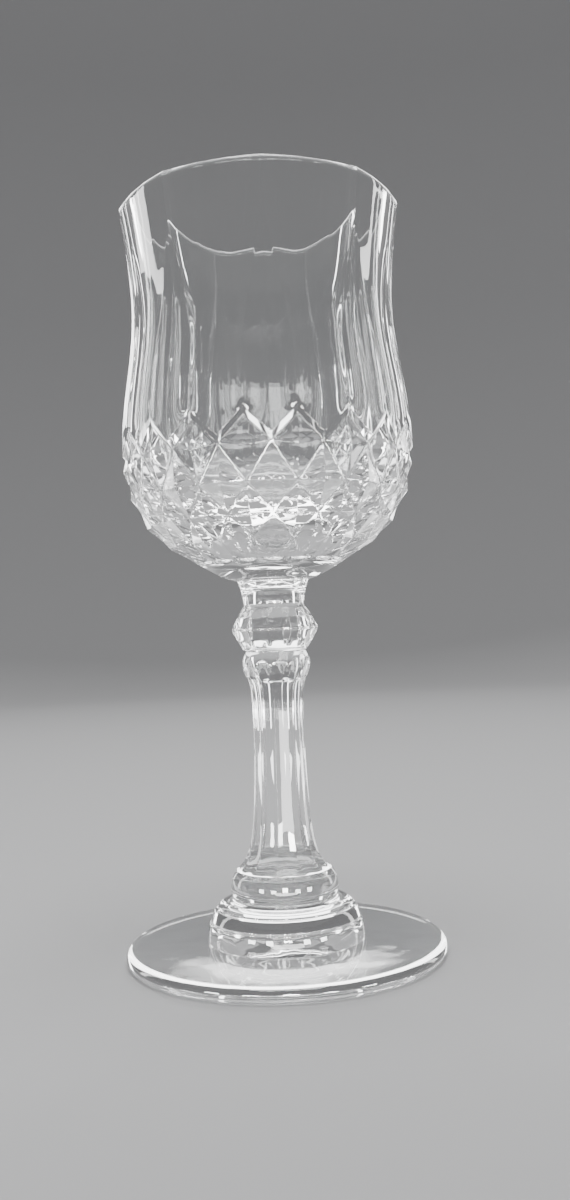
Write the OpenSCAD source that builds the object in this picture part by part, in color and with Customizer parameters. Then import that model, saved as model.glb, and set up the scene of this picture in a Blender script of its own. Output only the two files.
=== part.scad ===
// Stemmed wine glass in clear pressed crystal.
// A round bowl carries an outer cut pattern: a band of pointed diamonds round its lower part, and
// above it tall blades that alternate with flat panels and run up to a many-sided rim. A fluted
// stem with a knop under the bowl ends in a stepped base on a plain round foot.
// The glass stands on z = 0 with its axis on Z. One blade faces -Y.

/* [Foot] */
// Diameter of the foot
foot_d = 68.8; // [56:0.2:84]
// Thickness at the edge of the foot, which is rounded over its whole height
foot_edge_t = 3.2; // [2.4:0.1:4.5]
// Height of the foot's upper face where the stem stands on it
foot_seat_h = 3.6; // [3.4:0.1:5.5]
// Diameter of the shallow hollow under the foot
foot_hollow_d = 44; // [30:1:50]
// Depth of the hollow under the middle of the foot
foot_hollow_h = 0.4; // [0.1:0.1:0.8]

/* [Stem] */
// Height of the stem between the foot and the bowl
stem_h = 77; // [60:0.2:94]
// Diameter of the stepped base on the foot
base_d = 34; // [28:0.1:41]
// Height of the stepped base
base_h = 8.2; // [7:0.1:12]
// Diameter of the drum above the stepped base, where the flutes end
drum_d = 23; // [20:0.5:27]
// Height of the drum
drum_h = 6.6; // [5:0.1:10]
// Narrowest diameter of the fluted column
column_d = 10.9; // [9:0.1:13]
// Number of flutes round the stem
flutes = 12; // [8:1:16]
// How far a flute is hollowed below the flat between its two edges
flute_hollow = 0.16; // [0:0.02:0.3]
// Turn of the first flute's middle from the bowl's front blade, in degrees
flute_turn = 5; // [0:1:30]
// Diameter of the knop under the bowl
knop_d = 18.8; // [16:0.2:24]
// Height of the knop
knop_h = 10; // [7:0.5:14]
// Diameter of the small collar between the knop and the column
collar_d = 14.8; // [12.5:0.1:16]
// Height of the collar
collar_h = 6; // [4:0.5:9]
// Diameter of the neck between the knop and the bowl
neck_d = 13.2; // [11:0.2:15]

/* [Bowl] */
// Height of the bowl above the stem
bowl_h = 81.4; // [67:0.2:98]
// Diameter of the joint between the bowl and the stem
joint_d = 15.7; // [14:0.1:19]
// Diameter of the rim, over the blades
rim_d = 61.2; // [54:0.2:74]
// Diameter of the waist below the rim
waist_d = 57; // [50:0.2:68]
// Height of the waist above the stem
waist_h = 59.4; // [50:0.2:64]
// Widest diameter of the bowl
bulge_d = 63.2; // [56:0.2:76]
// Height of the widest part above the stem
bulge_h = 28; // [24:0.2:32]
// Diameter of the edge where the diamonds stop and the plain underside starts
edge_d = 32.4; // [26:0.2:38]
// Height of that edge above the stem
edge_h = 4.1; // [3:0.1:6]
// Thickness of the glass at the rim, behind a blade
rim_wall = 2.1; // [1.6:0.1:3]
// Thickness of the glass at the waist
waist_wall = 2.9; // [2.2:0.1:4]
// Thickness of the glass behind the first row of diamonds
bulge_wall = 3.4; // [2.6:0.1:5]
// Thickness of the solid glass under the inside of the bowl
floor_t = 10.6; // [8:0.2:14]

/* [Cut pattern] */
// Number of blades round the bowl
repeats = 9; // [7:1:12]
// Rows of whole diamonds
diamond_rows = 4; // [2:1:5]
// Height of each row of diamonds as a share of the row above
row_ratio = 0.77; // [0.65:0.01:0.95]
// Height of the highest groove crossings above the stem
crossing_h = 25.7; // [22:0.1:28]
// Rise of the zigzag groove from a crossing to the tip of a diamond
zigzag_h = 5.1; // [3:0.1:7]
// Depth of the grooves at the top of the diamonds
groove_depth = 1.5; // [0.8:0.1:2]
// Height of the bevel on the upper side of the zigzag groove
bevel_h = 1.4; // [0.6:0.1:2.5]
// Distance from the rim down to the point of a blade
blade_drop = 10; // [6:0.5:16]
// Height above the stem at which a blade is fully wide and meets its panels
pinch_h = 47.4; // [40:0.2:52]
// Half angle of a flat panel at the rim, in degrees
panel_half_rim = 7; // [5:0.5:9]
// How far the edges of a panel lie below the ridges beside it, where the blades are widest
blade_relief = 0.6; // [0.2:0.05:0.8]
// The same at the rim, where the ridges make it many-sided
rim_relief = 0.85; // [0.3:0.05:1]

/* [Hidden] */
$fn = 96;

glass = [0.86, 0.90, 0.92];

// Places of the pieces
bowl_z = foot_seat_h + stem_h;
blade_z = bowl_h - blade_drop;  // height of a blade's point above the stem

// Angles of the cut pattern
sector = 360 / repeats;         // one blade and one panel
half_diamond = sector / 4;      // from a crossing to the tip of a diamond
ridge_half = 0.5;               // half the width of the soft ridge line on a blade
pinch_half = 0.4;               // half the width that stays between a blade and a panel
spike_half = 3.4;               // width of the thin spike over the tip of a diamond
blade_fall = 0.45;              // share of the relief that a blade's own face takes up

// Curves of the bowl: how quickly a profile turns at its upper and its lower end
flare_power = 1.6;              // the flare under the rim
under_power = 2.4;              // the outside under the bulge
under_root = 0.8;
floor_power = 2.2;              // the inside under the bulge
floor_root = 0.6;
dish_power = 0.75;              // the plain underside

// Grooves and their edges
edge_groove = 0.35;             // share of the depth that a groove keeps at the edge under the bowl
tip_groove = 0.6;               // the same over the tips of the first diamonds
spike_groove = 0.75;            // the same beside a spike
panel_set_back = 1.6;           // how much further a panel's middle lies back than its edges
bevel_gap = 0.8;                // height from the bevel to the lowest straight ring
first_tip_drop = 1.1;           // how far the first tips stand below the crossings beside them
edge_step_w = 0.7;              // the small step where the diamonds meet the plain underside
edge_step_h = 0.3;

// Grid of the cut upper part: how often each side of a sector is divided
side_splits = [1, 2, 1, 1, 2, 1];
sector_cols = sum(side_splits, len(side_splits));
cols = repeats * sector_cols;   // columns round the bowl
rim_flat = (rim_d / 2 - rim_relief) * cos(panel_half_rim) - rim_d / 2 + rim_wall;
rim_round = rim_flat * 0.45;    // radius of the fire-polished lip, from the glass behind a panel
lip = [[0.9, 0], [0.3, 0.35]];  // the lip's rings: how far in and down, as shares of that radius
lip_rings = 2;                  // rings from the lip to the point of a blade
blade_rings = 6;                // rings from there to the full width of a blade
low_rings = 4;                  // rings from there to the zigzag groove
wall_rings = lip_rings + blade_rings + low_rings + 1;
inner_rings = 14;               // rings down the inside
straight_rings = 7;             // those of them above the bulge
dish_rings = 4;                 // rings on the plain underside

// ---------------------------------------------------------------- helpers

function mix(a, b, t) = a + (b - a) * t;
function ease(t) = (1 - cos(180 * t)) / 2;
function share(x, from, to) = (x - from) / (to - from);
function unit(t) = min(1, max(0, t));
function sum(list, n) = n == 0 ? 0 : list[n - 1] + sum(list, n - 1);
function joined(lists) = [for (list = lists, item = list) item];

// A point at an angle from -Y, a radius and a height
function polar(a, r, z) = [r * sin(a), -r * cos(a), z];

// Two triangles per cell between two closed rings of n points; the second ring lies below
function band(upper, lower, n) = joined([
    for (i = [0:n - 1]) let (j = (i + 1) % n) [
        [upper + i, upper + j, lower + j],
        [upper + i, lower + j, lower + i]
    ]
]);

// ---------------------------------------------------------------- foot

// The edge is a half circle, the upper face rises slightly to the stem,
// and the underside is a flat ring round a shallow cone.
module foot() {
    edge_r = foot_edge_t / 2;
    flat_r = foot_d / 2 - edge_r;
    past = 1;                   // how far the hollow's cutter reaches past the foot
    color(glass)
    rotate_extrude()
    difference() {
        union() {
            polygon([
                [0, 0], [flat_r, 0], [flat_r, foot_edge_t],
                [base_d / 2, foot_seat_h], [0, foot_seat_h]
            ]);
            translate([flat_r, edge_r]) circle(r = edge_r);
        }
        polygon([
            [-past, -past], [foot_hollow_d / 2, -past], [foot_hollow_d / 2, 0],
            [0, foot_hollow_h], [-past, foot_hollow_h]
        ]);
    }
}

// ---------------------------------------------------------------- stem

// Heights on the stem, from its foot upwards
drum_z = base_h + drum_h;
neck_h = 5.3;                       // height of the flared neck over the knop
collar_z = stem_h - neck_h - knop_h - collar_h;
knop_z = collar_z + collar_h;
neck_z = knop_z + knop_h;
column_foot_r = drum_d / 2 - 1.2;   // radius of the column where it leaves the drum
collar_foot_r = collar_d / 2 - 1;   // radius of the column under the collar
knop_foot_r = collar_d / 2 - 0.25;  // radius between the collar and the knop
flare_h = 3.5;                      // how quickly the flare above the drum dies out
collar_power = 14;                  // how late the column widens under the collar
neck_power = 1.8;                   // how late the neck widens under the bowl
column_rings = 15;
neck_rings = 5;

// A ring is [height, radius, flat]: flat runs from 0 for a round section to 1 for a fluted one.
base_steps = 3;
step_notch = 0.35;              // depth of the small notch over each step
step_side = 0.12;               // share of a step that is rounded beside its notch
skirt_in = 1;                   // how far the skirt's top stands out from the drum

// A point of the base's round skirt at an angle up its quarter ellipse, set back by a cut
function skirt(angle, cut = 0) =
    [base_h * sin(angle), mix(drum_d / 2 + skirt_in, base_d / 2, cos(angle)) - cut, 0];

// The base: a rounded skirt cut into small steps
function base_section() = joined([
    [skirt(0)],
    joined([
        for (i = [0:base_steps - 1]) let (
            low = 90 * i / base_steps,
            high = 90 * (i + 1) / base_steps
        ) [
            skirt(mix(low, high, step_side)),
            skirt(mix(low, high, 0.5)),
            skirt(mix(low, high, 1 - step_side)),
            skirt(high, step_notch)
        ]
    ])
]);

// The drum above the base: plain below, with the rounded ends of the flutes above
// Each row: share of the drum's height, change of radius, flat
drum_rows = [[0.12, -0.25, 0], [0.35, 0.15, 0], [0.58, 0, 0.15], [0.8, -0.5, 0.6]];
function drum_section() = joined([
    [for (row = drum_rows) [base_h + drum_h * row[0], drum_d / 2 + row[1], row[2]]],
    [[drum_z, column_foot_r, 1]]
]);

// The column: a flare that dies out quickly above the drum, and a short one under the collar
function column_r(z) = let (t = share(z, drum_z, collar_z))
    column_d / 2
    + (column_foot_r - column_d / 2) * (1 - t) / (1 + (z - drum_z) / flare_h)
    + (collar_foot_r - column_d / 2) * pow(t, collar_power);

function column_section() = [
    for (i = [1:column_rings]) let (z = mix(drum_z, collar_z, ease(i / (column_rings + 1))))
        [z, column_r(z), 1]
];

// The collar: a low round ring in which the flutes end in small arches
// Each row: share of the collar's height, flat
collar_rows = [[0, 1], [0.2, 1], [0.5, 0.55], [0.8, 0], [1, 0]];
function collar_section() = [
    for (row = collar_rows)
        [collar_z + collar_h * row[0], mix(collar_foot_r, collar_d / 2, sin(180 * row[0])), row[1]]
];

// The knop: flat facets above and below a narrow belt
// Each row: share of the knop's height, share of the way from the narrow end to the belt, flat
knop_low_rows = [[0.06, 0, 0], [0.24, 0.6, 1], [0.43, 1, 1]];
knop_high_rows = [[0.52, 1, 1], [0.78, 0.5, 1], [0.94, 0.12, 0.5]];
function knop_section() = joined([
    [for (row = knop_low_rows)
        [knop_z + knop_h * row[0], mix(knop_foot_r, knop_d / 2, row[1]), row[2]]],
    [for (row = knop_high_rows)
        [knop_z + knop_h * row[0], mix(neck_d / 2, knop_d / 2, row[1]), row[2]]]
]);

// The neck: round, and flared up to the joint with the bowl
function neck_section() = [
    for (i = [0:neck_rings]) let (t = i / neck_rings)
        [mix(neck_z, stem_h, t), mix(neck_d / 2, joint_d / 2, pow(t, neck_power)), 0]
];

stem_rings = joined([
    base_section(), drum_section(), column_section(), collar_section(),
    knop_section(), neck_section()
]);
stem_cols = flutes * 4;

// Radius at an angle on a ring: the flat side of the polygon, hollowed a little
function fluted_r(ring, a) = let (
    width = 360 / flutes,
    off = (a - flute_turn + width / 2) % width - width / 2,
    side = cos(width / 2) / cos(off),
    hollow = flute_hollow * (1 - pow(2 * off / width, 2))
) mix(ring[1], ring[1] * side - hollow, ring[2]);

module stem() {
    n = stem_cols;
    last = len(stem_rings) - 1;
    step = 360 / n;
    points = [
        for (ring = stem_rings, i = [0:n - 1]) let (a = flute_turn + i * step)
            polar(a, fluted_r(ring, a), ring[0])
    ];
    faces = joined([
        [[for (i = [0:n - 1]) i]],
        joined([for (k = [0:last - 1]) band((k + 1) * n, k * n, n)]),
        [[for (i = [n - 1:-1:0]) last * n + i]]
    ]);
    color(glass) translate([0, 0, foot_seat_h]) polyhedron(points, faces);
}

// ---------------------------------------------------------------- bowl

// Heights on the bowl are measured up from the stem.

// Outer radius over the ridges and the tips of the diamonds
function outer_r(z) = z >= waist_h
    ? mix(waist_d / 2, rim_d / 2, pow(share(z, waist_h, bowl_h), flare_power))
    : z >= bulge_h
    ? mix(bulge_d / 2, waist_d / 2, ease(share(z, bulge_h, waist_h)))
    : mix(edge_d / 2, bulge_d / 2,
          pow(1 - pow(unit(share(z, bulge_h, edge_h)), under_power), under_root));

// Inner radius: follows the wall down to the bulge, then closes in a round bowl
function inner_r(z) = z >= waist_h
    ? mix(waist_d / 2 - waist_wall, rim_d / 2 - rim_wall,
          pow(share(z, waist_h, bowl_h), flare_power))
    : z >= bulge_h
    ? mix(bulge_d / 2 - bulge_wall, waist_d / 2 - waist_wall, ease(share(z, bulge_h, waist_h)))
    : (bulge_d / 2 - bulge_wall)
      * pow(1 - pow(unit(share(z, bulge_h, floor_t)), floor_power), floor_root);

// The groove gets shallower towards the edge under the bowl
function groove(z) = groove_depth * mix(edge_groove, 1, share(z, edge_h, crossing_h));

// How far the edges of the panels lie below the ridge
function relief(z) = z >= pinch_h
    ? mix(blade_relief, rim_relief, share(z, pinch_h, bowl_h))
    : blade_relief;

// Half angle of a blade, from its point under the rim down to the diamonds
function blade_half(z) = z >= blade_z
    ? ridge_half
    : z >= pinch_h
    ? mix(half_diamond - pinch_half, ridge_half, share(z, pinch_h, blade_z))
    : half_diamond - pinch_half;

// Angle from a ridge to the near edge of the panel beside it
function panel_edge(z) = z >= pinch_h
    ? mix(half_diamond + pinch_half, sector / 2 - panel_half_rim, share(z, pinch_h, bowl_h))
    : mix(half_diamond + spike_half, half_diamond + pinch_half,
          share(z, crossing_h + zigzag_h, pinch_h));

// The six corners of a sector at one height, inset by a number of millimetres:
// ridge, blade edge, panel edge, panel middle, panel edge, blade edge
function corners(z, inset = 0, drop = 0) = let (
    a1 = blade_half(z),
    a2 = panel_edge(z),
    r0 = outer_r(z) - inset,
    r1 = r0 - relief(z) * blade_fall * a1 / a2,
    r2 = r0 - relief(z),
    rm = r2 * cos(sector / 2 - a2),
    h = z - drop
) [
    [0, r0, h], [a1, r1, h], [a2, r2, h],
    [sector / 2, rm, h], [sector - a2, r2, h], [sector - a1, r1, h]
];

// The corners along the zigzag groove, raised and lifted out for its bevel
function zigzag_corners(up, out) = let (
    low = crossing_h,
    high = crossing_h + zigzag_h,
    mid = high - zigzag_h * spike_half / half_diamond,
    a1 = half_diamond,
    a2 = half_diamond + spike_half,
    edge = blade_relief * out,
    low_r = outer_r(low) - groove(low) * (1 - out),
    mid_r = outer_r(mid) - groove(mid) * spike_groove * (1 - out),
    high_r = outer_r(high) - groove(high) * tip_groove * (1 - out)
) [
    [0, low_r, low + up],
    [a1, high_r - edge, high + up],
    [a2, mid_r - edge, mid + up],
    [sector / 2, low_r - edge * panel_set_back, low + up],
    [sector - a2, mid_r - edge, mid + up],
    [sector - a1, high_r - edge, high + up]
];

// A whole ring from the corners of one sector, with its sides divided in straight lines
function ring_points(six) = [
    for (s = [0:repeats - 1], k = [0:5], i = [0:side_splits[k] - 1]) let (
        p = six[k],
        q = k == 5 ? [sector, six[0][1], six[0][2]] : six[k + 1],
        t = i / side_splits[k]
    ) mix(polar(s * sector + p[0], p[1], p[2]), polar(s * sector + q[0], q[1], q[2]), t)
];

// Heights of the rings down the cut wall, with one at the point and one at the full width of a blade
function wall_z(i) = i <= lip_rings
    ? mix(bowl_h - rim_round, blade_z, i / lip_rings)
    : i <= lip_rings + blade_rings
    ? mix(blade_z, pinch_h, (i - lip_rings) / blade_rings)
    : mix(pinch_h, crossing_h + zigzag_h + bevel_h + bevel_gap,
          (i - lip_rings - blade_rings) / low_rings);

// Heights of the groove crossings from the top row to the edge under the bowl
row_sum = (1 - pow(row_ratio, diamond_rows)) / (1 - row_ratio);
row_steps = [
    for (i = [0:diamond_rows - 1]) (crossing_h - edge_h) * pow(row_ratio, i) / row_sum
];
function crossing_z(row) = crossing_h - sum(row_steps, row);

// Tips: a tip stands on the outer curve at the height of the crossings beside it
half_cols = repeats * 4;
function is_tip(row, i) = (i + row) % 2 == 1;
function row_points(row) = [
    for (i = [0:half_cols - 1]) let (z = crossing_z(row))
        polar(i * half_diamond, outer_r(z) - (is_tip(row, i) ? 0 : groove(z)), z)
];

// The first tips, between the crossings that the zigzag ring already holds
first_tips = [
    for (i = [0:repeats * 2 - 1])
        polar((2 * i + 1) * half_diamond, outer_r(crossing_h), crossing_h - first_tip_drop)
];

// The plain underside, from just inside the diamonds' edge to the joint
function dish_points(i) = let (
    t = 1 - i / dish_rings,
    z = (edge_h - edge_step_h) * t,
    r = mix(joint_d / 2, edge_d / 2 - edge_step_w, pow(t, dish_power))
) [for (k = [0:cols - 1]) polar(k * 360 / cols, r, z)];

// The inside, from the lip to a small ring round the lowest point
function inner_z(i) = i <= straight_rings
    ? mix(bowl_h - rim_round, bulge_h, i / straight_rings)
    : mix(bulge_h, floor_t, sin(90 * (i - straight_rings) / (inner_rings - straight_rings)));
function inner_ring(r, z) = [for (k = [0:cols - 1]) polar(k * 360 / cols, r, z)];

module bowl() {
    outer_points = joined([
        joined([for (k = lip) ring_points(corners(bowl_h, rim_round * k[0], rim_round * k[1]))]),
        joined([for (i = [0:wall_rings - 1]) ring_points(corners(wall_z(i)))]),
        ring_points(zigzag_corners(bevel_h, 1)),
        ring_points(zigzag_corners(0, 0))
    ]);
    zigzag = (len(lip) + wall_rings + 1) * cols;
    tips = zigzag + cols;
    rows = tips + repeats * 2;
    dish = rows + diamond_rows * half_cols;
    inner = dish + (dish_rings + 1) * cols;
    lip_r = inner_r(bowl_h);
    points = joined([
        outer_points,
        first_tips,
        joined([for (row = [1:diamond_rows]) row_points(row)]),
        joined([for (i = [0:dish_rings]) dish_points(i)]),
        joined([for (k = lip) inner_ring(lip_r + rim_round * k[0], bowl_h - rim_round * k[1])]),
        joined([for (i = [0:inner_rings - 1]) inner_ring(inner_r(inner_z(i)), inner_z(i))]),
        [[0, 0, floor_t]]
    ]);
    pole = len(points) - 1;

    // The wall from the lip down to the zigzag groove
    wall_faces = joined([
        for (k = [0:len(lip) + wall_rings]) band(k * cols, (k + 1) * cols, cols)
    ]);

    // The first diamonds: a fan round each tip, over half a sector of the zigzag
    first_faces = joined([
        for (d = [0:repeats * 2 - 1]) let (
            tip = tips + d,
            bottom = rows + 2 * d + 1,
            half = sector_cols / 2,
            left = zigzag + d * half,
            right = zigzag + (d * half + half) % cols
        ) joined([
            [for (i = [0:half - 1]) [left + i, zigzag + (d * half + i + 1) % cols, tip]],
            [[tip, right, bottom], [tip, bottom, left]]
        ])
    ]);

    // Each crossing of row n is joined to the tips beside it and to the crossings above and below
    function at(row, i) = let (c = (i + half_cols) % half_cols)
        row == 0 ? zigzag + 2 * c : rows + (row - 1) * half_cols + c;
    row_faces = joined([
        for (row = [1:diamond_rows - 1], i = [0:half_cols - 1]) is_tip(row, i) ? [
            [at(row - 1, i), at(row, i), at(row, i - 1)],
            [at(row - 1, i), at(row, i + 1), at(row, i)],
            [at(row, i - 1), at(row, i), at(row + 1, i)],
            [at(row, i), at(row, i + 1), at(row + 1, i)]
        ] : []
    ]);
    last_faces = joined([
        for (i = [0:half_cols - 1]) is_tip(diamond_rows, i) ? [
            [at(diamond_rows - 1, i), at(diamond_rows, i), at(diamond_rows, i - 1)],
            [at(diamond_rows - 1, i), at(diamond_rows, i + 1), at(diamond_rows, i)]
        ] : []
    ]);

    // The edge under the bowl: each side between a tip and a crossing meets two sides of the dish
    edge_faces = joined([
        for (i = [0:half_cols - 1]) let (
            a = at(diamond_rows, i),
            b = at(diamond_rows, i + 1),
            e = dish + 2 * i,
            f = dish + 2 * i + 1,
            g = dish + (2 * i + 2) % cols
        ) [[a, f, e], [a, b, f], [b, g, f]]
    ]);
    dish_faces = joined([
        for (k = [0:dish_rings - 1]) band(dish + k * cols, dish + (k + 1) * cols, cols)
    ]);
    joint_face = [[for (k = [0:cols - 1]) dish + dish_rings * cols + k]];

    // The lip and the inside face the other way round
    lip_faces = band(inner, 0, cols);
    inner_faces = joined([
        for (k = [0:len(lip) + inner_rings - 2])
            band(inner + (k + 1) * cols, inner + k * cols, cols)
    ]);
    floor_faces = [
        for (k = [0:cols - 1]) let (ring = inner + (len(lip) + inner_rings - 1) * cols)
            [ring + (k + 1) % cols, ring + k, pole]
    ];
    color(glass) translate([0, 0, bowl_z])
        polyhedron(points, joined([
            wall_faces, first_faces, row_faces, last_faces, edge_faces, dish_faces,
            joint_face, lip_faces, inner_faces, floor_faces
        ]));
}

// ---------------------------------------------------------------- pieces

foot();
stem();
bowl();
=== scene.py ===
# %% [markdown]
# # A pressed crystal wine glass
#
# A pressed glass gets its shape from a mould: the outside is full of flat cuts that meet in soft,
# fire-polished edges, and the inside is a plain round plunger's shape. This lesson builds the three
# pieces of such a glass, the foot, the stem and the bowl, as surfaces worked out with numpy, round
# the frame that the CAD model gives. The frame is loaded first and nothing in it is moved.

# %% Load the frame
import math

import bmesh
import bpy
import numpy as np
from mathutils import Matrix, Vector


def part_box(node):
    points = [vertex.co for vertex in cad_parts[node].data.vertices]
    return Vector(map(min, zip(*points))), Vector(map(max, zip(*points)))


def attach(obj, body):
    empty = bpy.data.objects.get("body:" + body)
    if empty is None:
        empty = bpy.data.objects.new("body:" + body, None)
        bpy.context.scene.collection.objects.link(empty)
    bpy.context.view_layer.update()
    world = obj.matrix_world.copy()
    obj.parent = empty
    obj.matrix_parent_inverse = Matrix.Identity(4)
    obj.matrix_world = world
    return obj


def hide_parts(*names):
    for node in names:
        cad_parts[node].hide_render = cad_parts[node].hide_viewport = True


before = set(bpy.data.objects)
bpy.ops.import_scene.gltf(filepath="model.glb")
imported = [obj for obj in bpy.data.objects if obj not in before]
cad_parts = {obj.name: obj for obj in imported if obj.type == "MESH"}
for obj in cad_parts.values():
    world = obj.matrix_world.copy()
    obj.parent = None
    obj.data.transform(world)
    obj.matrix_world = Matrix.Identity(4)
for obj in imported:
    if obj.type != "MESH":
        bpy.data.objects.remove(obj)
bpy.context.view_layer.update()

MM = 0.001  # the sizes below are in millimetres, the frame and the meshes in metres


def box_mm(node):
    """The lowest and highest corners of a CAD node, in millimetres."""
    low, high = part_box(node)
    return np.array(low) / MM, np.array(high) / MM


foot_low, foot_high = box_mm("foot")
stem_low, stem_high = box_mm("stem")
bowl_low, bowl_high = box_mm("bowl")
print("foot", foot_low, foot_high)
print("stem", stem_low, stem_high)
print("bowl", bowl_low, bowl_high)

# %% [markdown]
# ## The camera
#
# A wine glass is mostly height, so the frame is tall and narrow. The camera stands close, at about
# half the glass's height, which is why both the mouth and the foot open into ellipses: it looks up
# at the rim from below and down on the foot from above. From further off, with a longer lens, both
# would close to thin lines. It is rolled a little, as a hand holds it.

# %% Make the camera
lens = 33.15          # focal length
long_side = 36.0      # the width that the focal length goes with
nearest = 0.01        # nothing closer than this is drawn, in metres
camera_gap = 241.0    # from the glass's axis, in millimetres
camera_height = 69.5
camera_aside = 2.5    # to the right of the axis
camera_turn = -2.1    # round the axis, away from the front blade, in degrees
camera_tilt = 1.6     # upwards
camera_roll = -2.3


def make_camera():
    """Place = turn about Z, then step back and up, then tilt and roll about the line of sight."""
    data = bpy.data.cameras.new("camera")
    data.lens = lens
    data.sensor_width = long_side
    data.clip_start = nearest
    camera = bpy.data.objects.new("camera", data)
    bpy.context.scene.collection.objects.link(camera)
    place = Vector((camera_aside, -camera_gap, camera_height)) * MM
    camera.matrix_world = (
        Matrix.Rotation(math.radians(camera_turn), 4, "Z")
        @ Matrix.Translation(place)
        @ Matrix.Rotation(math.radians(90 + camera_tilt), 4, "X")
        @ Matrix.Rotation(math.radians(camera_roll), 4, "Z")
    )
    bpy.context.scene.camera = camera
    return camera


camera = make_camera()
print("camera at", [round(v / MM, 1) for v in camera.matrix_world.translation])

# %% [markdown]
# ## Small helpers for surfaces
#
# Every surface here is a grid: rows that run down or up the piece, and columns that run round it.
# A grid's corners are computed as whole arrays. The edges of the cuts fall exactly on columns, and
# the columns crowd together beside each edge. With smooth shading the normal then turns only within
# that narrow strip, so flat cuts stay flat and their edges look fire-polished. A Bevel modifier
# would round the edges too, but it breaks down where five or six cuts meet in a point.


# %% Curves
def mix(a, b, t):
    """The value that lies t of the way from a to b."""
    return a + (b - a) * t


def ease(t):
    """Half a cosine wave: 0 at 0 and 1 at 1, level at both ends."""
    return (1 - np.cos(np.pi * t)) / 2


def crowded(n):
    """n steps from 0 to 1 that crowd together at both ends."""
    return ease(np.linspace(0, 1, n + 1))


def polar(angle, radius, height):
    """Points at an angle in degrees from -Y: x = radius sin, y = -radius cos, z = height."""
    a = np.radians(angle)
    return np.stack(np.broadcast_arrays(radius * np.sin(a), -radius * np.cos(a), height), axis=-1)


print("ten crowded steps", np.round(crowded(10), 2))


# %% Grids
def grid_faces(rows, cols, closed=True):
    """Four-cornered faces of a grid whose points are numbered row by row."""
    row = np.arange(rows - 1)[:, None] * cols
    here = np.arange(cols if closed else cols - 1)[None, :]
    beside = (here + 1) % cols
    corners = [row + here, row + beside, row + cols + beside, row + cols + here]
    return np.stack(corners, axis=-1).reshape(-1, 4)


print("faces of a closed grid of 3 rows and 4 columns:", len(grid_faces(3, 4)))

# %% [markdown]
# A piece is put together from several grids that share their border points. Points closer than the
# weld distance become one, faces without area go, and the normals are turned outwards. Each grid
# carries a material number: 0 for the visible skin, 1 for a face that lies inside a joint.

# %% Weld the grids of a piece
weld = 0.002 * MM


def build(name, parts):
    """One closed mesh from (points in mm, faces, material number) parts, welded where they meet."""
    points, faces, slots, start = [], [], [], 0
    for part_points, part_faces, part_slot in parts:
        flat = part_points.reshape(-1, 3)
        points.append(flat)
        faces.append(part_faces + start)
        slots.append(np.full(len(part_faces), part_slot))
        start += len(flat)
    mesh = bpy.data.meshes.new(name)
    mesh.from_pydata((np.concatenate(points) * MM).tolist(), [], np.concatenate(faces).tolist())
    mesh.polygons.foreach_set("material_index", np.concatenate(slots).astype(np.int32))
    work = bmesh.new()
    work.from_mesh(mesh)
    bmesh.ops.remove_doubles(work, verts=work.verts, dist=weld)
    bmesh.ops.dissolve_degenerate(work, edges=work.edges, dist=weld / 2)
    bmesh.ops.recalc_face_normals(work, faces=work.faces)
    open_edges = sum(len(e.link_faces) != 2 for e in work.edges)
    work.to_mesh(mesh)
    work.free()
    mesh.polygons.foreach_set("use_smooth", np.ones(len(mesh.polygons), dtype=bool))
    mesh.update()
    piece = bpy.data.objects.new(name, mesh)
    bpy.context.scene.collection.objects.link(piece)
    print(name, len(mesh.vertices), "points", len(mesh.polygons), "faces", open_edges, "open edges")
    return piece


# %% [markdown]
# ## The bowl
#
# The bowl is thick pressed glass, cut only on its outside. It could be a turned body with the cuts
# taken away by Booleans, but those leave slivers that smooth shading turns into dark scratches. So
# the outside is drawn cut by cut. First come the two round profiles that all its points lie on.

# %% The two profiles of the bowl, measured up from its joint with the stem
joint_z = bowl_low[2]
bowl_h = bowl_high[2] - bowl_low[2]
rim_r, rim_wall = 30.6, 2.1
waist_r, waist_h, waist_wall = 28.5, 59.4, 2.9
bulge_r, bulge_h, bulge_wall = 31.6, 28.0, 3.4
edge_r, edge_h = 16.2, 4.1        # where the diamonds end and the plain underside starts
floor_h = 10.6                    # the inside's lowest point
flare_power = 1.6                 # how late the flare to the rim starts
under_power, under_round = 2.4, 0.8    # how full the outside is under the bulge
floor_power, floor_round = 2.2, 0.6    # and the inside


def flare(z):
    """How far up the flare a height is: 0 at the waist and 1 at the rim, to a power."""
    return np.clip((z - waist_h) / (bowl_h - waist_h), 0, None) ** flare_power


def waist(z):
    """How far a height is from the bulge to the waist: 0 to 1, eased."""
    return ease(np.clip((z - bulge_h) / (waist_h - bulge_h), 0, 1))


def outer_r(z):
    """Radius over ridges and tips: an S from bulge to waist, a flare to the rim, a round below."""
    under = np.clip((bulge_h - z) / (bulge_h - edge_h), 0, 1)
    round_r = mix(edge_r, bulge_r, (1 - under**under_power) ** under_round)
    side_r = mix(bulge_r, waist_r, waist(z)) + (rim_r - waist_r) * flare(z)
    return np.where(z < bulge_h, round_r, side_r)


def inner_r(z):
    """Radius inside: the outer profile less the wall, closed by a rounder bottom."""
    under = np.clip((bulge_h - z) / (bulge_h - floor_h), 0, 1)
    round_r = (bulge_r - bulge_wall) * (1 - under**floor_power) ** floor_round
    rise = (rim_r - rim_wall) - (waist_r - waist_wall)
    side_r = mix(bulge_r - bulge_wall, waist_r - waist_wall, waist(z)) + rise * flare(z)
    return np.where(z < bulge_h, round_r, side_r)


for place, height in (("rim", bowl_h), ("waist", waist_h), ("bulge", bulge_h)):
    print(place, "outside", round(float(outer_r(height)), 2), "inside", round(float(inner_r(height)), 2))

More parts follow.
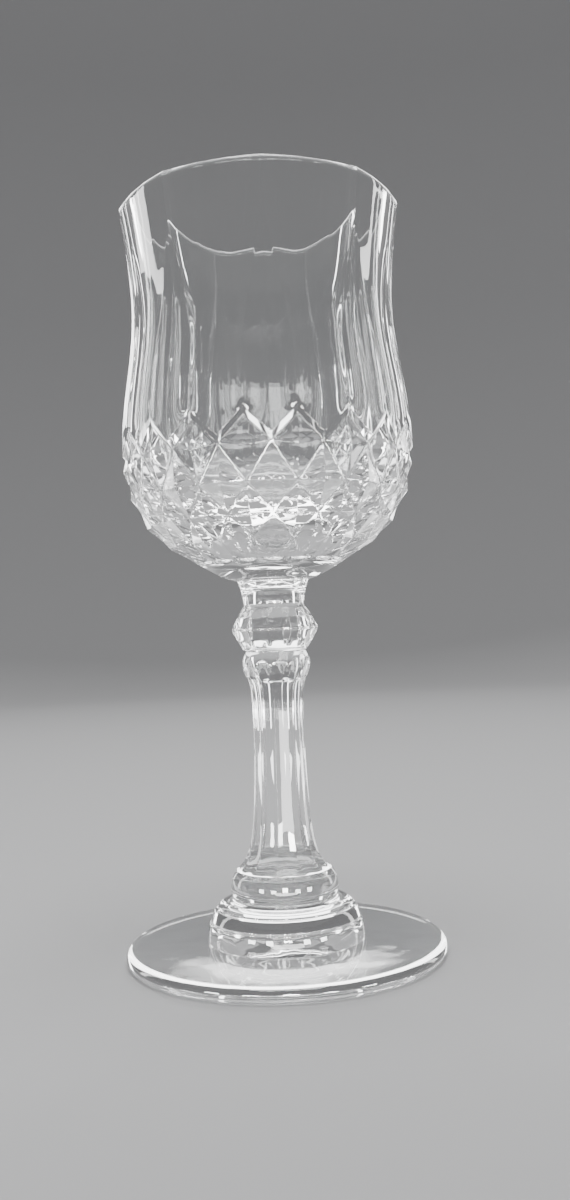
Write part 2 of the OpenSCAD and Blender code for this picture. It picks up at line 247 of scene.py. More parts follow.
# %% [markdown]
# ## The blades and panels
#
# The outside repeats: a blade and a flat panel make one sector. A blade has a ridge down its
# middle. It starts as a point under the rim and is widest where its edges touch the panels beside
# it, and it ends in the groove over the diamonds. At any height the outline between ridge, blade
# edge and panel edge is straight, so the wall is fully described by where those corners are.

# %% Sizes of the cuts, in millimetres and degrees
repeats = 9
sector = 360 / repeats
half_diamond = sector / 4
crossing_h, zigzag_h, bevel_h = 25.7, 5.1, 1.4    # the groove over the diamonds zigzags between two heights
groove_depth = 1.5
edge_groove, peak_groove = 0.35, 0.6    # share of the depth at the lower edge and at the zigzag's peaks
pinch_h = 47.4                          # a blade's full width
blade_h = bowl_h - 10                   # a blade's point
blade_relief, rim_relief = 0.6, 0.85    # how far a panel's edge lies inside a ridge
blade_fall = 0.45        # share of that which the blade's own face falls; its edge's bevel is the rest
panel_fall = 1.6         # the panel's middle lies this many times as far inside at its foot
half_bevel = 0.35        # half the width of the bevel between blade and panel
panel_half_rim = 7.0     # half a panel's narrower part at the rim
loose_half_rim = 6.5     # on the flat above a blade's point the columns spread out again
spike_share = 0.34       # share of a diamond's half width under the thin spike beside its tip
rim_round = rim_wall * 0.45
print(repeats, "blades, one every", sector, "degrees, on", 2 * repeats, "diamonds in a row")

# %% [markdown]
# The corners are joined by straight lines, and each line is split into steps. A half sector has
# three lines: ridge to blade edge, blade edge to panel edge, panel edge to the panel's middle. The
# other half is its mirror image, and the whole ring is one sector turned again and again.

# %% From corners to rings
blade_cuts = crowded(10)
flank_cuts = crowded(5)
panel_cuts = crowded(7)


def half_lines(corners):
    """Points along the three lines through four corners; corners are (..., 4, 3)."""
    a, b, c, d = (corners[..., k, None, :] for k in range(4))
    return np.concatenate(
        [
            mix(a, b, blade_cuts[:-1, None]),
            mix(b, c, flank_cuts[:-1, None]),
            mix(c, d, panel_cuts[:, None]),
        ],
        axis=-2,
    )


def turned(points, angle):
    """Points turned about Z: x cos - y sin, x sin + y cos, and the same z; the angle in degrees."""
    a = math.radians(angle)
    x, y, z = points[..., 0], points[..., 1], points[..., 2]
    return np.stack([x * math.cos(a) - y * math.sin(a), x * math.sin(a) + y * math.cos(a), z], axis=-1)


def whole_rings(corners):
    """Rings (rows, columns, 3) from the four corners of each row's half sector."""
    half = half_lines(corners)
    mirror = half[..., ::-1, :] * np.array([-1, 1, 1])
    other = turned(mirror, sector)
    one = np.concatenate([half[..., :-1, :], other[..., :-1, :]], axis=-2)
    return np.concatenate([turned(one, k * sector) for k in range(repeats)], axis=-2)


ring_columns = 2 * repeats * (len(blade_cuts) + len(flank_cuts) + len(panel_cuts) - 3)
print("columns in a ring:", ring_columns)

# %% [markdown]
# A mould's edges are never knife sharp. Moving each point towards the middle of its neighbours
# rounds a corner by a small, even amount, which is all that fire polishing does.

# %% Soften the edges
passes = 2


def softened(points):
    """Closed rings with rounded corners: a point becomes half itself and half its neighbours."""
    for _ in range(passes):
        points = (np.roll(points, 1, axis=-2) + 2 * points + np.roll(points, -1, axis=-2)) / 4
    return points


corner = softened(np.array([[0.0, 0], [0, 1], [0, 0], [0, 0]]))
print("a peak of height 1 is left", corner[:, 1].max(), "high")


# %% Corners of the wall
def wall_corners(z):
    """Four corners at each height: ridge, blade edge, panel edge, panel middle.

    Angles and radii run straight from their values at the pinch to those at the point and the rim.
    Above a blade's point its edge lies on the straight line from ridge to panel edge.
    """
    z = np.asarray(z, dtype=float)
    up = np.clip((z - pinch_h) / (bowl_h - pinch_h), 0, 1)
    down = np.clip((pinch_h - z) / (pinch_h - crossing_h - zigzag_h), 0, 1)
    to_point = np.clip((z - pinch_h) / (blade_h - pinch_h), 0, 1)
    past_point = np.clip((z - blade_h) / (bowl_h - blade_h), 0, 1)
    blade_a = mix(half_diamond - half_bevel, half_bevel, to_point)
    blade_a = blade_a + (loose_half_rim - half_bevel) * past_point
    panel_a = mix(half_diamond + half_bevel, sector / 2 - panel_half_rim, up)
    panel_a = panel_a + (half_diamond * spike_share - half_bevel) * down
    relief = mix(blade_relief, rim_relief, up)
    ridge_radius = outer_r(z)
    panel_radius = ridge_radius - relief
    ridge = polar(0 * z, ridge_radius, z)
    panel = polar(panel_a, panel_radius, z)
    chord = ridge_radius * panel_radius * np.sin(np.radians(panel_a)) / (
        ridge_radius * np.sin(np.radians(blade_a)) + panel_radius * np.sin(np.radians(panel_a - blade_a))
    )
    proud = ridge_radius - relief * blade_fall * blade_a / panel_a
    blade = polar(blade_a, mix(proud, chord, past_point > 0), z)
    middle = polar(0 * z + sector / 2, panel_radius * np.cos(np.radians(sector / 2 - panel_a)), z)
    return np.stack([ridge, blade, panel, middle], axis=-2)


def groove(z):
    """Depth of the grooves, shallower in step with the height towards the edge under the bowl."""
    return groove_depth * mix(edge_groove, 1, (z - edge_h) / (crossing_h - edge_h))


def zigzag_corners(up, out):
    """Four corners along the zigzag groove, raised by up and lifted out of the groove by out."""
    low, high = crossing_h, crossing_h + zigzag_h
    low_r = outer_r(low) - groove(low) * (1 - out)
    high_r = outer_r(high) - groove(high) * peak_groove * (1 - out) - blade_relief * out
    ridge = polar(0, low_r, low + up)
    blade = polar(half_diamond, high_r, high + up)
    middle = polar(sector / 2, low_r - blade_relief * panel_fall * out, low + up)
    panel = mix(blade, middle, spike_share)
    return np.stack([ridge, blade, panel, middle], axis=-2)


print("groove over the diamonds", round(float(groove(crossing_h)), 2), "mm deep")

# %% [markdown]
# The whole wall is one grid. It starts in the zigzag groove, rises over the groove's bevel and the
# blades to the rim, turns over the lip as half an ellipse, and runs down the plain inside to its
# lowest point. The columns of the outside go on inside, so nothing has to be joined at the lip.

# %% The cut wall
bevel_rows = np.array([0, 0.08, 0.5, 0.92, 1])    # up the bevel, closer together at its edges
rise_rows = np.array([0.03, 0.3, 0.65])           # from the bevel to the first level row
rise_h = 0.5
lower_rows, blade_rows, rim_rows, lip_rows = 8, 19, 9, 9
inside_rows, floor_rows = 25, 22


def lip_over(last, angle):
    """Half an ellipse from the last outer ring to the inner circle beside it."""
    last_r = np.hypot(last[:, 0], last[:, 1])
    inside_r = float(inner_r(bowl_h - rim_round))
    turn = np.linspace(0, np.pi, lip_rows + 2)[1:-1, None]
    radius = (last_r + inside_r) / 2 + (last_r - inside_r) / 2 * np.cos(turn)
    return polar(angle, radius, bowl_h - rim_round + rim_round * np.sin(turn))


def bowl_wall():
    """One grid from the zigzag groove up the outside, over the lip and down inside to the floor."""
    bevel_low, bevel_high = zigzag_corners(0, 0), zigzag_corners(bevel_h, 1)
    bevel = mix(bevel_low, bevel_high, bevel_rows[:, None, None])
    low = crossing_h + zigzag_h + bevel_h + rise_h
    rise = mix(bevel_high, wall_corners(np.array([low])), rise_rows[:, None, None])
    heights = np.concatenate(
        [
            np.linspace(low, pinch_h, lower_rows + 1)[:-1],
            np.linspace(pinch_h, blade_h, blade_rows + 1)[:-1],
            np.linspace(blade_h, bowl_h - rim_round, rim_rows),
        ]
    )
    outer = whole_rings(np.concatenate([bevel, rise, wall_corners(heights)]))
    outer[3:] = softened(outer[3:])    # the groove's own rows stay sharp, to meet the diamonds
    angle = np.degrees(np.arctan2(outer[-1, :, 0], -outer[-1, :, 1]))
    inside_h = np.concatenate(
        [
            np.linspace(bowl_h - rim_round, bulge_h, inside_rows + 1)[:-1],
            mix(bulge_h, floor_h, np.sin(np.linspace(0, np.pi / 2, floor_rows))),
        ]
    )[:, None]
    inner = polar(angle, inner_r(inside_h), inside_h)
    points = np.concatenate([outer, lip_over(outer[-1], angle), inner])
    return points, grid_faces(points.shape[0], points.shape[1]), 0


wall = bowl_wall()
print("wall", wall[0].shape[0], "rows", wall[0].shape[1], "columns")

# %% [markdown]
# ## The diamonds
#
# Grooves cross in a slanted lattice, and what stands between them are four-sided pyramids. Each
# crossing and each tip is a point of the lattice: its row gives the height, its column the angle,
# and the grooves lie deeper than the tips. A bump pattern would be simpler, but these cuts are deep
# enough to bend the light and to show in the outline.

# %% Lattice of crossings and tips
row_ratio, diamond_rows = 0.77, 4
first_tip_drop = 1.1    # the tips of the tall first row sit a little lower


def row_height(row):
    """Height of a row: each row of diamonds is a fixed share as tall as the one above it."""
    return mix(crossing_h, edge_h, (1 - row_ratio**row) / (1 - row_ratio**diamond_rows))


def crossing(col, row):
    """A groove crossing at a column and a row; the row above the first one is the zigzag's peaks."""
    col, row = np.broadcast_arrays(np.asarray(col, float), row)
    z = row_height(np.maximum(row, 0))
    radius = outer_r(z) - groove(z)
    peak = crossing_h + zigzag_h
    radius = np.where(row < 0, outer_r(peak) - groove(peak) * peak_groove, radius)
    return polar(col * half_diamond, radius, np.where(row < 0, peak, z))


def tip(col, row):
    """The point of a pyramid: on the outer profile, a little lower in the tall first row."""
    z = row_height(row)
    drop = first_tip_drop if row == 0 else 0
    return polar(np.asarray(col, float) * half_diamond, outer_r(z), z - drop)


print("heights of the rows", [round(float(row_height(k)), 1) for k in range(diamond_rows + 1)])

# %% [markdown]
# One pyramid is a set of square rings that shrink from the groove round it to its tip, so its four
# edges fall exactly on grid lines. The rings crowd at the groove and at the tip, where the surface
# turns. The columns along a side match the wall's columns, so the first row welds to the wall.

# %% Pyramids
side_cuts = crowded(10)
spike_cuts = np.concatenate([spike_share * flank_cuts[:-1], mix(spike_share, 1, panel_cuts)])
shrink = np.array([1, 0.9, 0.72, 0.48, 0.24, 0.08, 0])    # size of each ring, from groove to tip


def pyramids(tips, corners, cuts, closed=True):
    """Square rings: the lines through the corners, shrunk towards each tip."""
    sides = [
        mix(corners[k][:, None], corners[(k + 1) % len(corners)][:, None], cuts[k][None, :-1, None])
        for k in range(len(cuts))
    ]
    if not closed:
        sides.append(corners[len(cuts)][:, None])
    border = np.concatenate(sides, axis=1)
    points = mix(tips[:, None, None], border[:, None], shrink[None, :, None, None])
    if closed:
        points[:, 1:] = softened(points[:, 1:])
    count, rows, cols = points.shape[:3]
    faces = grid_faces(rows, cols, closed)[None] + (np.arange(count) * rows * cols)[:, None, None]
    return points, faces.reshape(-1, 4), 0


def diamond_band():
    """All the pyramids: the first row under the zigzag, the whole rows, and the halves below."""
    parts = []
    for start, cuts in (
        (1, [side_cuts, spike_cuts, side_cuts, side_cuts]),
        (3, [1 - spike_cuts[::-1], side_cuts, side_cuts, side_cuts]),
    ):
        col = np.arange(start, 4 * repeats, 4)
        ring = [crossing(col - 1, 0), crossing(col, -1), crossing(col + 1, 0), crossing(col, 1)]
        parts.append(pyramids(tip(col, 0), ring, cuts))
    for row in range(1, diamond_rows + 1):
        col = np.arange((row + 1) % 2, 4 * repeats, 2)
        ring = [crossing(col - 1, row), crossing(col, row - 1), crossing(col + 1, row)]
        if row < diamond_rows:
            ring.append(crossing(col, row + 1))
            parts.append(pyramids(tip(col, row), ring, [side_cuts] * 4))
        else:
            parts.append(pyramids(tip(col, row), ring, [side_cuts] * 2, closed=False))
    return parts


band = diamond_band()
print("pyramids", [part[0].shape[0] for part in band])

# %% [markdown]
# ## The underside of the bowl
#
# Under the diamonds the glass is plain again and sweeps in to the stem. Its outer edge has to take
# up the zigzag of the last half pyramids, so the first ring is made of their own border points.

# %% Underside, then the whole bowl
joint_r = 7.85
dish_power = 0.75                  # how quickly the dish widens as it rises
dish_in, dish_down = 0.6, 0.35     # its first ring lies inside and below the diamonds' edge
edge_step = 0.35                   # a row this share of the way to that ring keeps the edge crisp
dish_rows = 14


def underside():
    """The plain dish from the diamonds' edge to the joint, and the joint's disc."""
    col = np.arange((diamond_rows + 1) % 2, 4 * repeats, 2)
    tips = tip(col, diamond_rows)[:, None]
    left = crossing(col - 1, diamond_rows)[:, None]
    right = crossing(col + 1, diamond_rows)[:, None]
    steps = shrink[None, :, None]
    edge = np.concatenate([mix(tips, left, steps), mix(tips, right, steps[:, ::-1])[:, 1:-1]], axis=1)
    edge = edge.reshape(-1, 3)
    angle = np.degrees(np.arctan2(edge[:, 0], -edge[:, 1]))
    t = np.linspace(1, 0, dish_rows)[:, None]
    dish = polar(angle, mix(joint_r, edge_r - dish_in, t**dish_power), (edge_h - dish_down) * t)
    step = mix(edge[None], dish[:1], edge_step)
    points = np.concatenate([edge[None], step, dish])
    cols = points.shape[1]
    disc = np.stack([dish[-1], dish[-1] * 0])
    return [(points, grid_faces(len(points), cols), 0), (disc, grid_faces(2, cols), 1)]


bowl = build("bowl_glass", [wall, *band, *underside()])
bowl.data.transform(Matrix.Translation((0, 0, joint_z * MM)))

# %% [markdown]
# ## The stem
#
# The stem is turned in shape and then fluted. Its body is a profile: a stepped skirt, a drum, a
# long hollow curve, a small collar, a knop and a neck. It could be built of six primitives one on
# another, but then each seam would need its own blend. One profile gives them all.

# %% Sizes of the stem, measured up from the foot
stem_h = stem_high[2] - stem_low[2]
base_r = (stem_high[0] - stem_low[0]) / 2
base_h, base_steps = 8.2, 3
drum_r, drum_h = 11.5, 6.6
column_r = 5.45
neck_h, knop_h, collar_h = 5.3, 10.0, 6.0
knop_r, collar_r, neck_r = 9.4, 7.4, 6.6
drum_z = base_h + drum_h
collar_z = stem_h - neck_h - knop_h - collar_h
knop_z = collar_z + collar_h
neck_z = knop_z + knop_h
column_foot_r, collar_foot_r = drum_r - 1.2, collar_r - 1.0
print("heights: drum", base_h, "column", round(drum_z, 1), "collar", round(float(collar_z), 1))
print("heights: knop", round(float(knop_z), 1), "neck", round(float(neck_z), 1))


# %% Skirt and a smooth curve
skirt_rows = 70
step_notch, notch_a = 0.35, 3.4    # depth of the notch over a step, and half its width in degrees


def skirt():
    """The stepped skirt: a quarter ellipse, with a small notch over each step."""
    a = np.linspace(0, 90, skirt_rows)
    marks = 90 * np.arange(1, base_steps + 1) / base_steps
    near = np.min(np.abs(a[:, None] - marks[None]), axis=1)
    notch = step_notch * np.clip(1 - near / notch_a, 0, 1)
    radius = mix(drum_r + 1, base_r, np.cos(np.radians(a))) - notch
    return np.stack([base_h * np.sin(np.radians(a)), radius], axis=1)


def through(points, n):
    """A smooth curve through a few points: Catmull-Rom, n steps on each stretch."""
    p = np.asarray(points, dtype=float)
    p = np.concatenate([2 * p[:1] - p[1:2], p, 2 * p[-1:] - p[-2:-1]])
    t = np.linspace(0, 1, n, endpoint=False)[None, :, None]
    a, b, c, d = (p[k : len(p) - 3 + k, None] for k in range(4))
    curve = (
        2 * b + (c - a) * t + (2 * a - 5 * b + 4 * c - d) * t**2 + (3 * b - a - 3 * c + d) * t**3
    ) / 2
    return curve.reshape(-1, p.shape[1])


print("skirt", len(skirt()), "points,", base_steps, "steps")

# %% [markdown]
# The drum and the knop bulge by fractions of a millimetre, which no simple formula gives, so they
# are smooth curves through a few chosen points. The column and the neck are formulas: the column
# falls off like one over the height, as drawn glass does, and flares again under the collar.

# %% Drum and knop
drum_steps, knop_steps = 8, 9
knop_foot_r = collar_foot_r + 0.75
knop_flat = 0.12    # the knop's widest part is a narrow band between two chamfers


def drum():
    """Height and radius of the drum, with a waist between two soft edges."""
    return through(
        [
            (base_h + 0.25, drum_r + 0.35),
            (base_h + 0.9, drum_r - 0.2),
            (base_h + drum_h * 0.35, drum_r + 0.15),
            (base_h + drum_h * 0.6, drum_r),
            (base_h + drum_h * 0.82, drum_r - 0.45),
            (drum_z, column_foot_r),
        ],
        drum_steps,
    )


def knop():
    """Height and radius of the knop, from the collar over its widest band to the neck."""
    return through(
        [
            (knop_z + 0.55, knop_foot_r),
            (knop_z + 2.4, mix(knop_foot_r, knop_r, 0.5)),
            (knop_z + 4.2, knop_r - knop_flat),
            (knop_z + 4.75, knop_r),
            (knop_z + 5.3, knop_r - knop_flat),
            (knop_z + 7.9, mix(neck_r, knop_r, 0.46)),
            (knop_z + 9.3, neck_r + 0.35),
            (neck_z, neck_r),
        ],
        knop_steps,
    )


print("widest point of the knop", round(float(knop()[:, 1].max()), 2))

# %% Column, collar and neck, and the whole profile
column_rows, collar_rows, neck_rows = 90, 21, 22
flare_h = 3.5                                           # the column's foot narrows by half over this height
top_power, collar_power, neck_power = 14, 0.8, 1.8      # how late, how full and how late each one widens


def column():
    """Radius = column + what its foot adds / (1 + height / flare), and a late flare at the top."""
    z = mix(drum_z, collar_z, ease(np.linspace(0, 1, column_rows)))
    t = (z - drum_z) / (collar_z - drum_z)
    radius = column_r + (column_foot_r - column_r) * (1 - t) / (1 + (z - drum_z) / flare_h)
    return np.stack([z, radius + (collar_foot_r - column_r) * t**top_power], axis=1)


def collar():
    """Half a sine wave, made fuller by a power."""
    u = np.linspace(0, 1, collar_rows + 1)[1:]
    radius = collar_foot_r + (collar_r - collar_foot_r) * np.sin(np.pi * u) ** collar_power
    return np.stack([collar_z + collar_h * u, radius], axis=1)


def neck():
    """From the knop to the joint, widening late by a power of the height."""
    u = np.linspace(0, 1, neck_rows)
    return np.stack([mix(neck_z, stem_h, u), mix(neck_r, joint_r, u**neck_power)], axis=1)


profile = np.concatenate([skirt(), drum(), column(), collar(), knop(), neck()])
print("stem profile", len(profile), "points, thinnest radius", round(float(profile[:, 1].min()), 2))

# %% [markdown]
# ## The flutes
#
# Twelve cuts run up the stem. A cut is a plane at a distance from the axis, hollowed a little. A
# point takes the body's radius or the cut's, whichever is less, and where the cut reaches the body
# it runs out. That gives each flute its round end without drawing one.

# %% Cut the flutes into the body
flutes, flute_turn, flute_hollow = 12, 5.0, 0.16
flute_steps = 12
cut_z = [
    drum_z - 0.6, drum_z + 3.0, collar_z + 1.2, collar_z + 4.4,
    knop_z + 0.7, knop_z + 2.6, knop_z + 7.4, knop_z + 9.2,
]
cut_depth = [0, 1, 1.25, 0, 0, 1, 1, 0]    # 0 where the section is round, 1 where cuts meet in an edge


def stem_grid():
    """Radius = the lower of the body's and the cut's; the cut's = plane / cos(angle) - hollow."""
    z, body = profile[:, :1], profile[:, 1:]
    across = np.concatenate([k + crowded(flute_steps)[:-1] for k in range(flutes)])[None, :]
    width = 360 / flutes
    angle = flute_turn - width / 2 + across * width
    off = (across % 1 - 0.5) * width
    depth = np.interp(z, cut_z, cut_depth)
    plane = body * (1 - depth * (1 - math.cos(math.radians(width / 2))))
    hollow = flute_hollow * depth * (1 - (2 * off / width) ** 2)
    cut = plane / np.cos(np.radians(off)) - hollow
    return polar(angle, np.minimum(body, cut), z)


def capped(points):
    """A tube's grid with a disc on each end; the discs are numbered 1, as hidden faces."""
    rows, cols = points.shape[:2]
    low = points[0].mean(axis=0) + 0 * points[0]
    high = points[-1].mean(axis=0) + 0 * points[-1]
    return [
        (points, grid_faces(rows, cols), 0),
        (np.stack([points[0], low]), grid_faces(2, cols), 1),
        (np.stack([points[-1], high]), grid_faces(2, cols), 1),
    ]


stem = build("stem_glass", capped(stem_grid()))
stem.data.transform(Matrix.Translation((0, 0, stem_low[2] * MM)))

# %% [markdown]
# ## The foot
#
# The foot is a plain disc with a rounded edge. Underneath, only a ring touches the table: the
# middle is slightly hollow, so that the glass doesn't rock. A cylinder with bevels would give the
# edge, but not the slow rise of the top towards the stem, so it is a profile turned about Z.

# %% Turn the foot
foot_r = min(*foot_high[:2], *-foot_low[:2])
seat_h = foot_high[2]
edge_t = 3.2                         # thickness of the rounded edge
hollow_r, hollow_h = 22.0, 0.4
stand_r = [24, 28, 31, 32.4]         # the flat ring that it stands on
rise_power = 1.5                     # how late the top rises to the stem
edge_rows, foot_rows, foot_cols = 25, 24, 288


def foot_parts():
    """Two turned grids: the outside of the disc, and the seat that the stem hides."""
    edge = np.radians(np.linspace(-90, 90, edge_rows))
    round_r = foot_r - edge_t / 2 + edge_t / 2 * np.cos(edge)
    round_z = edge_t / 2 + edge_t / 2 * np.sin(edge)
    step = np.linspace(0, 1, foot_rows)
    under_r = np.concatenate([hollow_r * step, stand_r])
    under_z = np.concatenate([hollow_h * (1 - ease(step)), np.zeros(len(stand_r))])
    top_r = mix(foot_r - edge_t / 2, base_r, step[1:])
    top_z = mix(edge_t, seat_h, step[1:] ** rise_power)
    radius = np.concatenate([under_r, round_r, top_r])[:, None]
    height = np.concatenate([under_z, round_z, top_z])[:, None]
    angle = np.arange(foot_cols)[None, :] * 360 / foot_cols
    shell = polar(angle, radius, height)
    seat = np.stack([shell[-1], polar(angle[0], 0, seat_h)])
    return [(shell, grid_faces(len(radius), foot_cols), 0), (seat, grid_faces(2, foot_cols), 1)]


foot = build("foot_glass", foot_parts())

# %% [markdown]
# ## Shader maths as expressions
#
# A material is a small graph. Wrapping a socket in a class lets an expression such as `1 - mask`
# add its Math nodes by itself, and one method adds any other node.


# %% A socket that can be calculated with
class Wire:
    """An output socket; - * > and | add Math nodes, and node() adds any other node."""

    def __init__(self, tree, socket=None):
        self.tree, self.socket = tree, socket

    def node(self, kind, settings=None, inputs=None, out=0):
        """Adds a node: its settings first, then its inputs, each a value or another wire."""
        made = self.tree.nodes.new(kind)
        for name, value in (settings or {}).items():
            setattr(made, name, value)
        for name, value in (inputs or {}).items():
            self.feed(made.inputs[name], value)
        return Wire(self.tree, made.outputs[out])

    def feed(self, socket, value):
        """Links a wire to an input socket, or sets a plain value on it."""
        if isinstance(value, Wire):
            self.tree.links.new(value.socket, socket)
        else:
            socket.default_value = value

    def math(self, operation, a, b):
        """Adds a Math node of two values."""
        return self.node("ShaderNodeMath", {"operation": operation}, {0: a, 1: b})

    def __sub__(self, other):
        return self.math("SUBTRACT", self, other)

    def __rsub__(self, other):
        return self.math("SUBTRACT", other, self)

    def __mul__(self, other):
        return self.math("MULTIPLY", self, other)

    def __rmul__(self, other):
        return self.math("MULTIPLY", other, self)

    def __gt__(self, other):
        return self.math("GREATER_THAN", self, other)

    def __or__(self, other):
        return self.math("MAXIMUM", self, other)


def new_material(name):
    """An empty material, its output node and a wire to build it with."""
    material = bpy.data.materials.new(name)
    material.use_nodes = True
    tree = material.node_tree
    tree.nodes.clear()
    print("material", name)
    return material, tree.nodes.new("ShaderNodeOutputMaterial"), Wire(tree)


# %% [markdown]
# ## Clear glass
#
# Crystal glass bends light more than window glass does. Pressed glass is never quite even: its skin
# keeps faint waves from the mould, and handling leaves a film that dulls it here and there. The
# waves go into the normal, the film into the roughness and very slightly into the colour.
#
# A ray can be caught between the cuts and bounce until the renderer gives up, which leaves black
# edges. A glass shader that only refracts would avoid them, but it would lose the mirrored lights.
# So after a few reflections, or many passes, the glass turns clear and lets the ray out.

# %% Crystal
refraction = 1.545
clear_tint = (0.985, 0.99, 0.99, 1)
film_tint = (0.955, 0.965, 0.965, 1)
film_scale, film_detail = 55, 3
film_from, film_to = 0.48, 0.72             # the noise below is clean glass, the noise above full film
most_reflections, most_passes = 2.5, 9.5    # halves, so that counts fall clearly on one side


def noise(wire, scale, detail, place):
    """Soft noise between about 0 and 1 on the piece's own coordinates."""
    return wire.node(
        "ShaderNodeTexNoise", {}, {"Vector": place, "Scale": scale, "Detail": detail, "Roughness": 0.5}
    )


def crystal(name, wave_scale, wave_height, film):
    """Transmitting glass with waves of a given height in metres and a film of a given strength."""
    material, output, wire = new_material(name)
    place = wire.node("ShaderNodeTexCoord", out="Object")
    spots = noise(wire, film_scale, film_detail, place)
    patches = wire.node(
        "ShaderNodeMapRange", {}, {"Value": spots, "From Min": film_from, "From Max": film_to, "To Max": 1.0}
    )
    # sockets 6 and 7 and output 2 are the colour ones of a node that also mixes numbers and vectors
    colour = wire.node(
        "ShaderNodeMix", {"data_type": "RGBA"}, {"Factor": patches, 6: clear_tint, 7: film_tint}, out=2
    )
    waves = noise(wire, wave_scale, 1, place)
    bump = wire.node("ShaderNodeBump", {}, {"Strength": 1.0, "Distance": wave_height, "Height": waves})
    reflections = wire.node("ShaderNodeLightPath", out="Glossy Depth")
    passed = wire.node("ShaderNodeLightPath", out="Ray Depth")
    trapped = (reflections > most_reflections) | (passed > most_passes)
    glass = wire.node(
        "ShaderNodeBsdfPrincipled",
        {},
        {
            "Base Color": colour,
            "Roughness": film * patches,
            "IOR": refraction,
            "Transmission Weight": 1.0,
            "Alpha": 1 - trapped,
            "Normal": bump,
        },
    )
    wire.feed(output.inputs["Surface"], glass)
    return material


# %% [markdown]
# On a real glass the three pieces are fused while they are hot, and nothing shows where they meet.
# Here each piece is closed, so the two faces of a joint would mirror light inside the glass. They
# could be left out, but then the meshes would be open. They get a material that isn't there at all.

# %% Fused joints, and the glass on each piece
def fused():
    """A joint inside the glass: the two pieces are one there, so the face lets everything pass."""
    material, output, wire = new_material("fused_joint")
    clear = wire.node("ShaderNodeBsdfPrincipled", {}, {"Base Color": (1, 1, 1, 1), "Alpha": 0.0})
    wire.feed(output.inputs["Surface"], clear)
    return material


joint_face = fused()
for piece, node, wave_scale, wave_height, film in (
    (bowl, "bowl", 170, 0.03 * MM, 0.02),
    (stem, "stem", 260, 0.03 * MM, 0.015),
    (foot, "foot", 120, 0.04 * MM, 0.02),
):
    piece.data.materials.append(crystal(node + "_crystal", wave_scale, wave_height, film))
    piece.data.materials.append(joint_face)
    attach(piece, "root")
    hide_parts(node)

# %% [markdown]
# ## The studio
#
# Clear glass shows only what is round it, so it needs a quiet ground and bright shapes to bend and
# mirror. The ground is a pale sweep: a floor that bends up into a wall without an edge. It turns all
# the way round, so it stays plain from every side, where a flat backdrop would end.

# %% Sweep
sweep_r, sweep_bend, sweep_h = 1600.0, 600.0, 1200.0
sweep_rings = [0, 200, 400]    # radii of the level floor's rings
bend_rows, sweep_cols = 17, 96
floor_gap = 0.1                # the foot never touches the floor all over
paper_grey, paper_roughness = (0.39, 0.39, 0.395, 1), 0.9


def make_sweep():
    """A floor that bends up into a round wall: a disc, a quarter circle, then a cylinder."""
    bend = np.radians(np.linspace(0, 90, bend_rows))
    bend_r = sweep_r - sweep_bend + sweep_bend * np.sin(bend)
    bend_z = sweep_bend - sweep_bend * np.cos(bend)
    radius = np.concatenate([sweep_rings, bend_r, [sweep_r]])
    height = np.concatenate([np.zeros(len(sweep_rings)), bend_z, [sweep_h]]) - floor_gap
    angle = np.arange(sweep_cols)[None, :] * 360 / sweep_cols
    points = polar(angle, radius[:, None], height[:, None])
    faces = grid_faces(len(radius), sweep_cols)
    mesh = bpy.data.meshes.new("sweep")
    mesh.from_pydata((points.reshape(-1, 3) * MM).tolist(), [], faces.tolist())
    mesh.polygons.foreach_set("use_smooth", np.ones(len(mesh.polygons), dtype=bool))
    sweep = bpy.data.objects.new("sweep", mesh)
    bpy.context.scene.collection.objects.link(sweep)
    material, output, wire = new_material("sweep_paper")
    paper = wire.node(
        "ShaderNodeBsdfPrincipled", {}, {"Base Color": paper_grey, "Roughness": paper_roughness}
    )
    wire.feed(output.inputs["Surface"], paper)
    mesh.materials.append(material)
    return sweep


print("sweep", len(make_sweep().data.polygons), "faces")

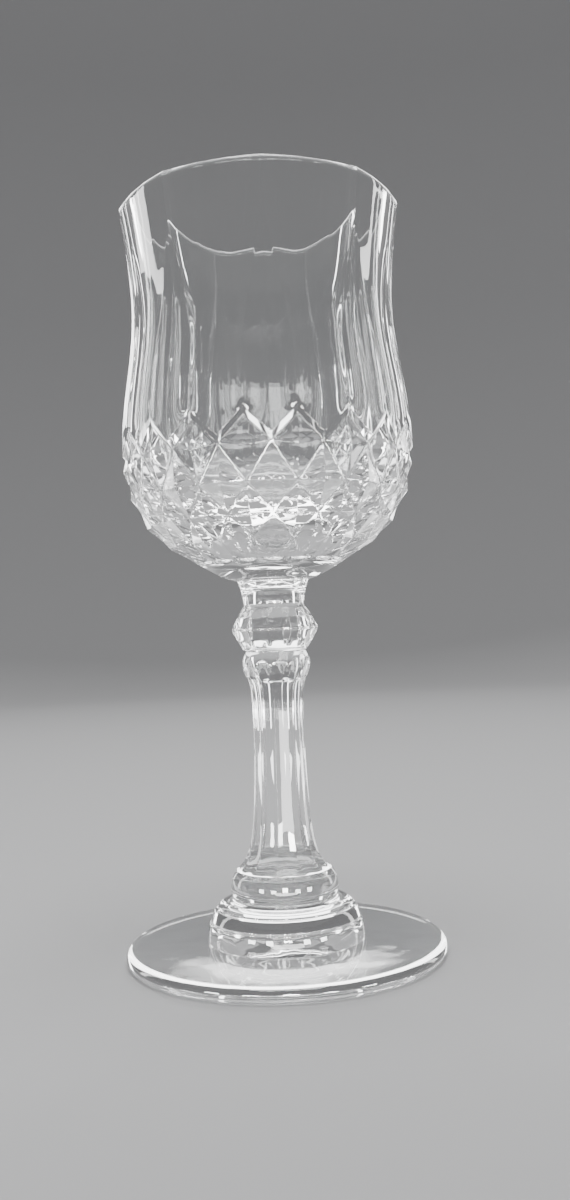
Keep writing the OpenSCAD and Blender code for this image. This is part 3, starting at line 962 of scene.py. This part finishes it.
# %% [markdown]
# ### Lights
#
# A large light overhead and a high one behind reach everything, and the high one also gives the rim
# and the foot's edge their white line. The others are narrow shapes for the glass alone: tall banks
# behind the sides draw strokes down the walls and the column, panels on the floor lighten the base,
# and small low ones round the camera pick out the edges of the cuts. They are linked to the glass's
# three pieces, so they leave no pools of light on the floor. One big light would be simpler, but it
# would fill every cut alike, and their edges would disappear.

# %% Lights
for_glass = bpy.data.collections.new("for_glass")
for piece in (bowl, stem, foot):
    for_glass.objects.link(piece)


def soft_light(name, place, turn, width, height, radiance, linked=True):
    """A panel at a place, turned by angles in degrees: watts = pi x its brightness x its area."""
    data = bpy.data.lights.new(name, "AREA")
    data.shape = "RECTANGLE"
    data.size, data.size_y = width, height
    data.energy = radiance * math.pi * width * height
    light = bpy.data.objects.new(name, data)
    light.location = place
    light.rotation_euler = [math.radians(angle) for angle in turn]
    light.visible_camera = False
    bpy.context.scene.collection.objects.link(light)
    if linked:
        light.light_linking.receiver_collection = for_glass
    print(name, round(data.energy, 2), "W")
    return light


def upright(name, azimuth, distance, low, high, width, radiance, **more):
    """A standing panel that faces the axis, between two heights; sizes in metres."""
    place = polar(azimuth, distance, (low + high) / 2)
    return soft_light(name, place, (90, 0, azimuth), width, high - low, radiance, **more)


soft_light("overhead", (0, -0.1, 1.0), (0, 0, 0), 0.5, 0.5, 13, linked=False)
upright("back_top", 180, 1.2, 0.75, 1.45, 1.4, 6, linked=False)
for side in (-1, 1):
    upright("bank", 150 * side, 0.46, 0.0, 0.36, 0.03, 8)
    upright("bank", 116 * side, 0.46, 0.0, 0.36, 0.06, 11)
    soft_light("floor_side", (0.17 * side, 0.12, 0), (180, 0, 0), 0.14, 0.3, 3)
upright("by_camera", 0, 0.26, 0.045, 0.105, 0.05, 170)
for azimuth in (-52, -26, 26, 52):
    upright("beside_camera", azimuth, 0.4, 0.03, 0.1, 0.07, 80)
upright("front_low", 0, 0.5, 0.0, 0.06, 0.4, 24)

# %% [markdown]
# What no panel lights gets an even grey from the world, so the shadows stay soft.

# %% World
world_grey = (0.55, 0.55, 0.555, 1)
world = bpy.data.worlds.new("studio")
world.use_nodes = True
world.node_tree.nodes["Background"].inputs["Color"].default_value = world_grey
bpy.context.scene.world = world
print("world", world_grey[:3])
